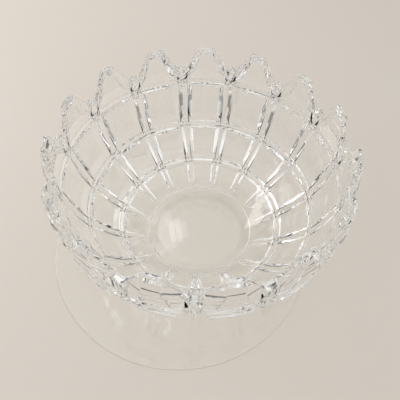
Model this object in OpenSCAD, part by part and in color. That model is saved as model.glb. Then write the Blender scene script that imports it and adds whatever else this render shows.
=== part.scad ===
// Pressed glass punch bowl standing on a plain round glass underplate.
// The bowl is smooth inside. Its outside is cut into rows of bevelled blocks by
// pairs of V grooves, and its rim is a crown of tapered teeth.

/* [Bowl] */
// Widest outside diameter, at the top ring of cuts
bowl_d = 320; // [265:1:385]
// Height from the base ring to the tips of the teeth
bowl_h = 176; // [145:1:215]
// Outside diameter of the base ring
base_d = 140; // [116:1:168]
// Height of the base ring
base_ring_h = 3; // [2:0.5:5]
// Width of the face that the base ring stands on
base_ring_w = 12; // [8:0.5:18]
// Depth of the hollow inside the base ring
base_hollow = 1.5; // [0.5:0.25:2.5]
// Width of the slope from the base ring up into the hollow
hollow_run = 22; // [6:1:26]
// Radius at the low ring of cuts, as a share of the widest radius
low_ring_r = 0.655; // [0.64:0.005:0.67]
// Height of the low ring, as a share of the height
low_ring_z = 0.158; // [0.146:0.002:0.166]
// Radius at the middle ring of cuts, as a share of the widest radius
mid_ring_r = 0.872; // [0.86:0.002:0.88]
// Height of the middle ring, as a share of the height
mid_ring_z = 0.393; // [0.38:0.001:0.41]
// Height of the top ring of cuts, as a share of the height
top_ring = 0.73; // [0.66:0.01:0.76]
// How far the two upper rows of blocks bulge at their middle
bulge = 3; // [0:0.25:3.5]

/* [Glass thickness] */
// Floor of the bowl
floor_t = 11; // [8:0.5:14]
// Wall at the low ring
wall_low = 11; // [9:0.5:14]
// Wall at the middle ring
wall_mid = 13; // [11:0.5:17]
// Wall at the top ring
wall_top = 17; // [13:0.5:20]
// Wall at the top of the teeth, before their bevels
wall_tooth = 8.3; // [7:0.1:11]
// Flat edge along the top of each tooth
lip_t = 4.6; // [3:0.1:6.5]
// Radius of the flat part of the floor
floor_r = 56; // [40:1:66]

/* [Blocks] */
// Number of blocks in a row, which is also the number of teeth
blocks = 15; // [12:1:18]
// Slope of the bevels, in degrees from the face of the block
bevel_slope = 38; // [30:1:42]
// Width of a bevel at the top ring; it narrows with the radius
bevel_w = 8; // [5:0.5:9]
// Width of a block's lowest bevel, against its other bevels
foot_bevel = 1.3; // [1:0.05:1.5]
// Half width of the ridges that run up the wall, at the top ring
rib_w = 6.5; // [4:0.5:8]
// Half width of the ridges that run round the wall
band_w = 4; // [3:0.5:5]

/* [Teeth] */
// Height of a tooth above the gap beside it
tooth_h = 27.3; // [20:0.5:34]
// Half width of the flat edge on top of a tooth
tooth_top_w = 9.7; // [7:0.1:12]
// Half width of the flat at the bottom of a gap
gap_w = 5.3; // [3:0.1:8]
// Height of the bevel under the top edge of a tooth
tip_bevel_h = 12; // [8:0.5:15]
// How far the outer face of a tooth leans in at its top
tooth_lean = 5; // [0:0.1:6]
// Half width of a tooth's face at its top
face_top_w = 7; // [6:0.1:11]
// Slope of the sides of a tooth's face, in degrees from vertical
face_taper = 20; // [15:1:32]

/* [Underplate] */
// Diameter of the plate
plate_d = 330; // [275:1:396]
// Thickness of the plate
plate_t = 4.5; // [3:0.5:8]

/* [Placement] */
// How far the bowl stands to the right of the plate's middle
bowl_right = 23.6; // [0:0.1:30]
// How far the bowl stands behind the plate's middle
bowl_back = 10.5; // [0:0.1:30]
// Turn of the bowl on the plate, in degrees
bowl_turn = 10.7; // [0:0.1:24]

/* [Hidden] */

glass = [0.86, 0.91, 0.9, 0.4];
plate_glass = [0.9, 0.93, 0.92, 0.3];
$fn = 120;

bowl_r = bowl_d / 2;
pitch = 360 / blocks;
top_z = top_ring * bowl_h;
over = 14;            // how far a cut runs past its row of blocks
fade = 0.1;           // share of the lowest row that its grooves leave plain
fade_depth = 0.3;     // depth of those grooves at their low end, against the low ring's
cut_h = 9;            // how far a cut stands proud of the blocks
cut_w = 11;           // width of the cut along one side of a tooth
past = 5;             // how far a cut reaches past an edge
base_bevel = 1;       // small bevel on the bottom edge of the base ring
steps = 8;            // stretches of the inside curve between two rings

// Corners of the outer shape, before any cut: base, low, middle and top ring, teeth
rings = [
    [base_d / 2 + base_ring_h, base_ring_h],
    [low_ring_r * bowl_r, low_ring_z * bowl_h],
    [mid_ring_r * bowl_r, mid_ring_z * bowl_h],
    [bowl_r, top_z],
    [bowl_r - tooth_lean, bowl_h]
];
// The two upper rows have one more corner each, at the middle of their bulge
corners = [rings[0], rings[1], bulged(1), rings[2], bulged(2), rings[3], rings[4]];
ring_at = [0, 1, 3, 5, 6];     // place of each ring in the list of corners
walls = [floor_t, wall_low, wall_mid, wall_top, wall_tooth];

function unit(v) = v / norm(v);
function left_of(v) = [-v[1], v[0]];
function bulged(k) = (rings[k] + rings[k + 1]) / 2 - left_of(unit(rings[k + 1] - rings[k])) * bulge;
// Direction up the wall between corner k and corner k + 1, and the way into the glass
function up(k) = unit(corners[k + 1] - corners[k]);
function inward(k) = left_of(up(k));
function corner_in(k) = k == 6 ? [-1, 0] : unit(inward(k - 1) + inward(k));

// Cuts keep their angle and shrink with the radius
function bevel_at(k) = bevel_w * corners[k][0] / bowl_r;
function depth_at(k) = bevel_at(k) * tan(bevel_slope);

// Outline of a pair of cuts that runs round the wall at corner k
function ring_cut(k) = [
    corners[k] - up(k - 1) * (band_w + bevel_at(k)),
    corners[k] - up(k - 1) * band_w + inward(k - 1) * depth_at(k),
    corners[k] + corner_in(k) * (depth_at(k) - band_w * tan(bevel_slope)),
    corners[k] + up(k) * band_w + inward(k) * depth_at(k),
    corners[k] + up(k) * (band_w + bevel_at(k) * foot_bevel)
];

// The inside curve passes through one point at each ring
inside = concat(
    [[floor_r - (rings[1][0] - floor_r) / 2, floor_t], [floor_r, floor_t]],
    [for (k = [1:4]) rings[k] + corner_in(ring_at[k]) * walls[k]]
);
inside_end = 2 * inside[5] - inside[4];
function inside_at(i) = i > 5 ? inside_end : inside[i];
function curve(i, t) = 0.5 * (2 * inside_at(i)
    + (inside_at(i + 1) - inside_at(i - 1)) * t
    + (2 * inside_at(i - 1) - 5 * inside_at(i) + 4 * inside_at(i + 1) - inside_at(i + 2)) * t * t
    + (3 * inside_at(i) - inside_at(i - 1) - 3 * inside_at(i + 1) + inside_at(i + 2)) * t * t * t);
inside_wall = [for (i = [1:4], j = [0:steps - 1]) curve(i, j / steps)];

lip_in = inside[5];
face_top = rings[3] + (rings[4] - rings[3]) * (1 - tip_bevel_h / (bowl_h - top_z));
base_in = base_d / 2 - base_ring_w;

bowl_outline = concat(
    [
        [0, base_hollow], [base_in - hollow_run, base_hollow], [base_in, 0],
        [base_d / 2 - base_bevel, 0], [base_d / 2, base_bevel],
        [base_d / 2, base_ring_h], corners[0]
    ],
    ring_cut(1), [corners[2]], ring_cut(3), [corners[4]], ring_cut(5),
    [face_top, [lip_in[0] + lip_t, bowl_h], lip_in],
    [for (i = [len(inside_wall) - 1:-1:0]) inside_wall[i]],
    [[0, floor_t]]
);

// Slope of the sides of the gap between two teeth
gap_top_w = bowl_r * sin(pitch / 2) - tooth_top_w;
gap_slope = (gap_top_w - gap_w) / tooth_h;

// One V groove that runs up the wall from corner k to corner k + 1
module groove(k, side) {
    faded = corners[0] + (corners[1] - corners[0]) * fade + inward(0) * depth_at(1) * fade_depth;
    from = k == 0 ? faded : corners[k] + inward(k) * depth_at(k);
    low = k == 0 ? 0 : over;
    to = corners[k + 1] + inward(k) * (k == 5 ? depth_at(k) : depth_at(k + 1));
    reach = depth_at(k) + cut_h;
    half = reach / tan(bevel_slope);
    rotate([0, 0, side * asin(rib_w / bowl_r)])
        translate([from[0], 0, from[1]])
            rotate([0, atan2(to[0] - from[0], to[1] - from[1]), 0])
                translate([0, 0, -low])
                    linear_extrude(norm(to - from) + low + over)
                        polygon([[0, 0], [reach, -half], [reach, half]]);
}

// The gap between two teeth
module gap() {
    top_w = gap_w + gap_slope * (tooth_h + past);
    low_z = bowl_h - tooth_h;
    top = bowl_h + past;
    translate([bowl_r / 2, 0, 0])
        rotate([90, 0, 90])
            linear_extrude(bowl_r)
                polygon([[-gap_w, low_z], [gap_w, low_z], [top_w, top], [-top_w, top]]);
}

// The long bevel down one side of a tooth's face
module tooth_bevel(side) {
    high = bowl_h - top_z + past;
    translate([face_top[0], side * face_top_w, face_top[1]])
        rotate([side * face_taper, 0, 0])
            translate([0, 0, -high])
                linear_extrude(high + tip_bevel_h + past)
                    scale([1, side])
                        polygon([[0, 0], [cut_h, 0], [cut_h, cut_w], [-cut_w * tan(bevel_slope), cut_w]]);
}

module bowl() {
    color(glass)
        translate([bowl_right, bowl_back, plate_t])
            rotate([0, 0, 90 + bowl_turn])
                difference() {
                    rotate_extrude() polygon(bowl_outline);
                    for (m = [0:blocks - 1]) {
                        rotate([0, 0, m * pitch]) {
                            gap();
                            for (k = [0:5], side = [-1, 1]) groove(k, side);
                        }
                        rotate([0, 0, (m + 0.5) * pitch])
                            for (side = [-1, 1]) tooth_bevel(side);
                    }
                }
}

module underplate() {
    edge = plate_t / 2;
    color(plate_glass)
        rotate_extrude() {
            square([plate_d / 2 - edge, plate_t]);
            translate([plate_d / 2 - edge, edge]) circle(edge);
        }
}

underplate();
bowl();
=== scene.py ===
"""Pressed glass punch bowl on a plain glass underplate: looks, floor, light and camera."""
import math

import bmesh
import bpy
from mathutils import Euler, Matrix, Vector


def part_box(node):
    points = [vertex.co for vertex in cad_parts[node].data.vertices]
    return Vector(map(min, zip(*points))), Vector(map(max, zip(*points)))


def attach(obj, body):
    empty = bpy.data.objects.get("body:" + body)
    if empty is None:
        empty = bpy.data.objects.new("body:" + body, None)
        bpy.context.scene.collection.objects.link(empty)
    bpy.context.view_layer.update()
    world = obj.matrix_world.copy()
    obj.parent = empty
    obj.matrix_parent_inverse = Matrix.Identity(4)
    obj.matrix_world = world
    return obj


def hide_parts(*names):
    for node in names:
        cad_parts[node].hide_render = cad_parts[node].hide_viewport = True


# Lengths are in metres.

# Skin of the bowl
WELD = 2e-6                             # vertices closer than this are one
FLAT_ANGLE = math.radians(0.05)         # triangles this close to one plane become one face
MOST_CORNERS = 4                        # a face with more corners is cut into triangles again
SHARP_EDGE = math.radians(14)           # edges under this are one smooth surface
SOFT_EDGE = 0.0006                      # width of the softened edges of pressed glass
SOFT_EDGE_STEPS = 2

# Underplate
TOUCH_GAP = 0.00006                     # air between the bowl and the plate where they touch
PLATE_SEGMENTS = 256
PLATE_RINGS = 6                         # rings across the flat of the plate
PLATE_RINGS_END = 0.996                 # share of the flat that those rings cover
PLATE_EDGE_STEPS = 12                   # stretches of the plate's round edge
PLATE_SHARP_EDGE = math.radians(40)

# Glass
GLASS_IOR = 1.5
GLASS_TINT = (0.996, 1.0, 0.998)
LIGHT_LET_THROUGH = (0.98, 0.976, 0.97)  # share of the light that crosses one face
FINE_WAVE_SCALE = 9                     # fine waves are this many times closer than the slow
FINE_WAVE_DEPTH = 0.02                  # and have this share of their depth
POLISH_SCALE = 55
POLISH_NOISE = (0.35, 0.75)             # noise values that turn into the roughness below
POLISH_ROUGHNESS = (0.0, 0.012)
SCRATCH_SCALE = 900
SCRATCH_NOISE = (0.45, 0.7)
SCRATCH_ROUGHNESS = (0.03, 0.22)
SCRATCH_FADE = 0.0006                   # height over which the scuffs come to full strength
# Depth and scale of the slow waves, and the height that the scuffs reach
BOWL_GLASS = {"wave": 0.00007, "wave_scale": 22, "scuff_top": 0.0056}
PLATE_GLASS = {"wave": 0.00003, "wave_scale": 9, "scuff_top": 0.0004}

# Floor
FLOOR_HALF = 6.0
FLOOR_DROP = 0.0003                     # how far the floor lies under the plate
FLOOR_DARKER = (0.575, 0.530, 0.478, 1)
FLOOR_LIGHTER = (0.610, 0.565, 0.515, 1)
FLOOR_CLOUD_SCALE = 2.5
FLOOR_GRAIN_SCALE = 350
FLOOR_GRAIN_DEPTH = 0.00005
FLOOR_ROUGHNESS = 0.65

# Room: heights and distances back are on a sphere of radius 1
ROOM_LOW, ROOM_LOW_COLOUR = 0.14, (0.19, 0.185, 0.175, 1)
ROOM_HIGH, ROOM_HIGH_COLOUR = 0.52, (1.0, 0.99, 0.97, 1)
ROOM_STRENGTH = 0.96
PATCH_STRENGTH = 0.10                   # light of the dark patch behind the bowl
PATCH_TOP = (0.22, 0.36)                # heights over which the patch ends
PATCH_SIDE = (0.35, 0.65)               # distances back over which the patch starts
BACKDROP_COLOUR = (0.64, 0.61, 0.57, 1)
MIX_FACTOR, MIX_FIRST, MIX_SECOND, MIX_COLOUR = 0, 6, 7, 2   # sockets of a colour mix

# Lamps, in watts
LAMP_TARGET = (0.02, 0.01, 0.08)
WARM, COOL = (1.0, 0.98, 0.95), (0.97, 0.98, 1.0)
LAMPS = {
    "window": {"place": (-2.2, 1.0, 1.3), "size": (2.0, 1.6), "power": 40, "colour": WARM},
    "ceiling_lamp": {
        "place": (-0.23, 1.01, 1.73), "size": (0.16, 0.26), "power": 0.2, "colour": COOL,
    },
    "strip_lamp": {
        "place": (-0.27, 0.39, 1.91), "size": (0.05, 0.24), "power": 0.45, "colour": COOL,
    },
}

# Camera, as fitted to the photograph; lens and sensor in millimetres, turn in degrees
CAMERA_PLACE = (0.0236, -0.2423, 0.4301)
CAMERA_TURN = (35.39, -0.83, 1.25)
CAMERA_SENSOR = 36.0
CAMERA_LENS = 32.745
CAMERA_NEAREST = 0.02

# Light paths
GLASS_BOUNCES = 48
CLEAR_BOUNCES = 32
SPARK_LIMIT = 1.5                       # most that one bounced ray may add


# ---------------------------------------------------------------- node helpers

def new_material(name):
    material = bpy.data.materials.new(name)
    material.use_nodes = True
    nodes = material.node_tree.nodes
    nodes.clear()
    return material, nodes, material.node_tree.links


def add_node(nodes, kind, **settings):
    node = nodes.new(kind)
    for key, value in settings.items():
        setattr(node, key, value)
    return node


def noise(nodes, links, source, scale, detail, roughness=0.5):
    node = add_node(nodes, "ShaderNodeTexNoise")
    node.inputs["Scale"].default_value = scale
    node.inputs["Detail"].default_value = detail
    node.inputs["Roughness"].default_value = roughness
    links.new(source, node.inputs["Vector"])
    return node.outputs["Fac"]


def remap(nodes, links, source, span, onto):
    """Spreads the values in span over the values in onto, and holds them at its ends."""
    node = add_node(nodes, "ShaderNodeMapRange")
    node.inputs["From Min"].default_value, node.inputs["From Max"].default_value = span
    node.inputs["To Min"].default_value, node.inputs["To Max"].default_value = onto
    links.new(source, node.inputs["Value"])
    return node.outputs["Result"]


def combine(nodes, links, operation, a, b):
    node = add_node(nodes, "ShaderNodeMath", operation=operation)
    for socket, source in zip(node.inputs, (a, b)):
        links.new(source, socket)
    return node.outputs[0]


def bump(nodes, links, height, distance, below=None):
    node = add_node(nodes, "ShaderNodeBump")
    node.inputs["Strength"].default_value = 1.0
    node.inputs["Distance"].default_value = distance
    links.new(height, node.inputs["Height"])
    if below is not None:
        links.new(below, node.inputs["Normal"])
    return node.outputs["Normal"]


# ---------------------------------------------------------------- glass

def glass_material(name, wave, wave_scale, scuff_top):
    """Clear glass: slow waves from pressing or rolling, faint polish marks, scuffs low down."""
    material, nodes, links = new_material(name)
    place = add_node(nodes, "ShaderNodeTexCoord").outputs["Object"]
    shader = add_node(nodes, "ShaderNodeBsdfPrincipled")
    shader.inputs["Base Color"].default_value = (*GLASS_TINT, 1.0)
    shader.inputs["IOR"].default_value = GLASS_IOR
    shader.inputs["Transmission Weight"].default_value = 1.0

    slow = noise(nodes, links, place, wave_scale, detail=1.5)
    fine = noise(nodes, links, place, wave_scale * FINE_WAVE_SCALE, detail=2.0)
    waves = bump(nodes, links, slow, wave)
    waves = bump(nodes, links, fine, wave * FINE_WAVE_DEPTH, waves)
    links.new(waves, shader.inputs["Normal"])

    roughness = scuffed_roughness(nodes, links, place, scuff_top)
    links.new(roughness, shader.inputs["Roughness"])
    output = add_node(nodes, "ShaderNodeOutputMaterial")
    surface = let_light_through(nodes, links, shader.outputs[0])
    links.new(surface, output.inputs["Surface"])
    return material


def scuffed_roughness(nodes, links, place, scuff_top):
    """Polished nearly everywhere; scuffed where the piece is set down, below scuff_top."""
    marks = noise(nodes, links, place, POLISH_SCALE, detail=3.0)
    polish = remap(nodes, links, marks, POLISH_NOISE, POLISH_ROUGHNESS)
    height = add_node(nodes, "ShaderNodeSeparateXYZ")
    links.new(place, height.inputs[0])
    fade = (scuff_top, scuff_top - SCRATCH_FADE)
    low = remap(nodes, links, height.outputs["Z"], fade, (0.0, 1.0))
    scratches = noise(nodes, links, place, SCRATCH_SCALE, detail=4.0, roughness=0.7)
    scratch = remap(nodes, links, scratches, SCRATCH_NOISE, SCRATCH_ROUGHNESS)
    scuffs = combine(nodes, links, "MULTIPLY", low, scratch)
    return combine(nodes, links, "ADD", polish, scuffs)


def let_light_through(nodes, links, surface):
    """Light passes the glass on its way to the floor, so that the shadow stays light."""
    path = add_node(nodes, "ShaderNodeLightPath")
    clear = add_node(nodes, "ShaderNodeBsdfTransparent")
    clear.inputs["Color"].default_value = (*LIGHT_LET_THROUGH, 1.0)
    shadow, diffuse = path.outputs["Is Shadow Ray"], path.outputs["Is Diffuse Ray"]
    passes = combine(nodes, links, "MAXIMUM", shadow, diffuse)
    mix = add_node(nodes, "ShaderNodeMixShader")
    for socket, source in zip(mix.inputs, (passes, surface, clear.outputs[0])):
        links.new(source, socket)
    return mix.outputs[0]


# ---------------------------------------------------------------- pieces

def make_object(name, bm, material, sharp_angle):
    """An object from bm, with smooth faces and with sharp edges above sharp_angle."""
    mesh = bpy.data.meshes.new(name)
    bm.to_mesh(mesh)
    bm.free()
    if "custom_normal" in mesh.attributes:     # carried over with a CAD mesh
        mesh.attributes.remove(mesh.attributes["custom_normal"])
    mesh.shade_smooth()
    mesh.set_sharp_from_angle(angle=sharp_angle)
    mesh.materials.append(material)
    piece = bpy.data.objects.new(name, mesh)
    bpy.context.scene.collection.objects.link(piece)
    return piece


def welded_copy(node_name):
    """A CAD node's mesh, welded; flat stretches are joined, then cut to 3 or 4 corners a face."""
    bm = bmesh.new()
    bm.from_mesh(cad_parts[node_name].data)
    bmesh.ops.remove_doubles(bm, verts=bm.verts, dist=WELD)
    bmesh.ops.dissolve_limit(bm, angle_limit=FLAT_ANGLE, verts=bm.verts, edges=bm.edges)
    wide = [face for face in bm.faces if len(face.verts) > MOST_CORNERS]
    bmesh.ops.triangulate(bm, faces=wide)
    bm.normal_update()
    return bm


def make_bowl():
    """The bowl in one smooth skin: the CAD's faces welded, curves smooth, cut edges softened."""
    material = glass_material("bowl_glass", **BOWL_GLASS)
    piece = make_object("bowl_glass_body", welded_copy("bowl"), material, SHARP_EDGE)
    soften = piece.modifiers.new("soft_edges", "BEVEL")
    soften.width = SOFT_EDGE
    soften.segments = SOFT_EDGE_STEPS
    soften.limit_method = "ANGLE"
    soften.angle_limit = SHARP_EDGE
    soften.use_clamp_overlap = False
    soften.harden_normals = True
    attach(piece, "bowl")
    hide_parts("bowl")


def plate_profile(radius, thick):
    """Half of the plate's section, from the middle of its top to the middle of its underside."""
    edge = thick / 2
    flat = radius - edge
    rings = [flat * PLATE_RINGS_END * i / PLATE_RINGS for i in range(1, PLATE_RINGS + 1)]
    top = [(r, thick) for r in rings]
    turn = [math.pi / 2 - math.pi * i / PLATE_EDGE_STEPS for i in range(PLATE_EDGE_STEPS + 1)]
    rim = [(flat + edge * math.cos(a), edge + edge * math.sin(a)) for a in turn]
    return top + rim + [(r, 0.0) for r in reversed(rings)]


def make_plate():
    """The underplate, turned round its axis, with a round polished edge."""
    material = glass_material("plate_glass", **PLATE_GLASS)
    low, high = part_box("underplate")
    radius, thick = (high.x - low.x) / 2, high.z - low.z - TOUCH_GAP
    centre = (low + high) / 2
    around = [2 * math.pi * i / PLATE_SEGMENTS for i in range(PLATE_SEGMENTS)]
    bm = bmesh.new()
    loops = []
    for r, z in plate_profile(radius, thick):
        ring = [(centre.x + r * math.cos(a), centre.y + r * math.sin(a)) for a in around]
        loops.append([bm.verts.new((x, y, low.z + z)) for x, y in ring])
    for upper, lower in zip(loops, loops[1:]):
        for i in range(PLATE_SEGMENTS):
            j = (i + 1) % PLATE_SEGMENTS
            bm.faces.new((upper[i], lower[i], lower[j], upper[j]))
    bm.faces.new(loops[0])
    bm.faces.new(list(reversed(loops[-1])))
    bmesh.ops.recalc_face_normals(bm, faces=bm.faces)
    piece = make_object("underplate_glass_disc", bm, material, PLATE_SHARP_EDGE)
    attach(piece, "underplate")
    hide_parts("underplate")


# ---------------------------------------------------------------- stage, light, camera

def make_floor():
    """A wide pale floor with faint clouds of colour and a fine grain."""
    material, nodes, links = new_material("pale_floor")
    place = add_node(nodes, "ShaderNodeTexCoord").outputs["Object"]
    shader = add_node(nodes, "ShaderNodeBsdfPrincipled")
    ramp = add_node(nodes, "ShaderNodeValToRGB")
    for stop, colour in zip(ramp.color_ramp.elements, (FLOOR_DARKER, FLOOR_LIGHTER)):
        stop.color = colour
    clouds = noise(nodes, links, place, FLOOR_CLOUD_SCALE, detail=3.0)
    links.new(clouds, ramp.inputs[0])
    links.new(ramp.outputs[0], shader.inputs["Base Color"])
    shader.inputs["Roughness"].default_value = FLOOR_ROUGHNESS
    grain = noise(nodes, links, place, FLOOR_GRAIN_SCALE, detail=3.0)
    links.new(bump(nodes, links, grain, FLOOR_GRAIN_DEPTH), shader.inputs["Normal"])
    output = add_node(nodes, "ShaderNodeOutputMaterial")
    links.new(shader.outputs[0], output.inputs[0])
    mesh = bpy.data.meshes.new("floor")
    corners = [(x * FLOOR_HALF, y * FLOOR_HALF, 0) for x, y in ((-1, -1), (1, -1), (1, 1), (-1, 1))]
    mesh.from_pydata(corners, [], [(0, 1, 2, 3)])
    mesh.materials.append(material)
    floor = bpy.data.objects.new("floor", mesh)
    floor.location.z = -FLOOR_DROP
    bpy.context.scene.collection.objects.link(floor)


def make_world():
    """A soft room, bright overhead and darker low down, with a dark patch low behind the bowl.

    Where it looks past the floor, the camera sees a plain pale backdrop. The light on things,
    reflections and what shows through the glass come from the room.
    """
    world = bpy.data.worlds.new("soft_room")
    bpy.context.scene.world = world
    world.use_nodes = True
    nodes, links = world.node_tree.nodes, world.node_tree.links
    background = nodes["Background"]
    direction = add_node(nodes, "ShaderNodeTexCoord").outputs["Generated"]
    axes = add_node(nodes, "ShaderNodeSeparateXYZ")
    links.new(direction, axes.inputs[0])
    ramp = add_node(nodes, "ShaderNodeValToRGB")
    stops = ((ROOM_LOW, ROOM_LOW_COLOUR), (ROOM_HIGH, ROOM_HIGH_COLOUR))
    for stop, (height, colour) in zip(ramp.color_ramp.elements, stops):
        stop.position = height
        stop.color = colour
    links.new(axes.outputs["Z"], ramp.inputs[0])
    seen = add_node(nodes, "ShaderNodeLightPath").outputs["Is Camera Ray"]
    backdrop = add_node(nodes, "ShaderNodeMix", data_type="RGBA")
    backdrop.inputs[MIX_SECOND].default_value = BACKDROP_COLOUR
    links.new(seen, backdrop.inputs[MIX_FACTOR])
    links.new(ramp.outputs[0], backdrop.inputs[MIX_FIRST])
    links.new(backdrop.outputs[MIX_COLOUR], background.inputs["Color"])
    low = remap(nodes, links, axes.outputs["Z"], PATCH_TOP, (1.0, 0.0))
    back = remap(nodes, links, axes.outputs["Y"], PATCH_SIDE, (0.0, 1.0))
    dark = combine(nodes, links, "MULTIPLY", low, back)
    strength = remap(nodes, links, dark, (0.0, 1.0), (ROOM_STRENGTH, PATCH_STRENGTH))
    strength = combine(nodes, links, "MAXIMUM", strength, seen)
    links.new(strength, background.inputs["Strength"])


def make_lights():
    """Area lamps that face the bowl: a wide window, and two small lamps for its glints."""
    target = Vector(LAMP_TARGET)
    for name, spec in LAMPS.items():
        lamp = bpy.data.lights.new(name, "AREA")
        lamp.shape = "RECTANGLE"
        lamp.size, lamp.size_y = spec["size"]
        lamp.energy = spec["power"]
        lamp.color = spec["colour"]
        holder = bpy.data.objects.new(name, lamp)
        holder.location = spec["place"]
        towards = target - Vector(spec["place"])
        holder.rotation_euler = towards.to_track_quat("-Z", "Y").to_euler()
        bpy.context.scene.collection.objects.link(holder)


def make_camera():
    data = bpy.data.cameras.new("camera")
    data.sensor_width = CAMERA_SENSOR
    data.lens = CAMERA_LENS
    data.clip_start = CAMERA_NEAREST
    camera = bpy.data.objects.new("camera", data)
    camera.location = CAMERA_PLACE
    camera.rotation_euler = Euler([math.radians(a) for a in CAMERA_TURN])
    bpy.context.scene.collection.objects.link(camera)
    bpy.context.scene.camera = camera


def deepen_glass():
    """Rays may cross and turn back at many faces; stray sparks from the lamps are held down."""
    scene = bpy.context.scene
    scene.cycles.max_bounces = GLASS_BOUNCES
    scene.cycles.transmission_bounces = GLASS_BOUNCES
    scene.cycles.glossy_bounces = GLASS_BOUNCES
    scene.cycles.sample_clamp_indirect = SPARK_LIMIT
    scene.cycles.transparent_max_bounces = CLEAR_BOUNCES
    scene.view_settings.view_transform = "Standard"


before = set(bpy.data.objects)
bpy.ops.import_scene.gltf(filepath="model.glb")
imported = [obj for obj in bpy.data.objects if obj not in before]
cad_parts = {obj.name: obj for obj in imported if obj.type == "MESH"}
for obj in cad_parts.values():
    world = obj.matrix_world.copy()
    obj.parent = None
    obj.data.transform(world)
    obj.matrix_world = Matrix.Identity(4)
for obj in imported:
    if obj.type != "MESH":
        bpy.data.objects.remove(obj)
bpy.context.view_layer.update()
make_bowl()
make_plate()
make_floor()
make_world()
make_lights()
make_camera()
deepen_glass()
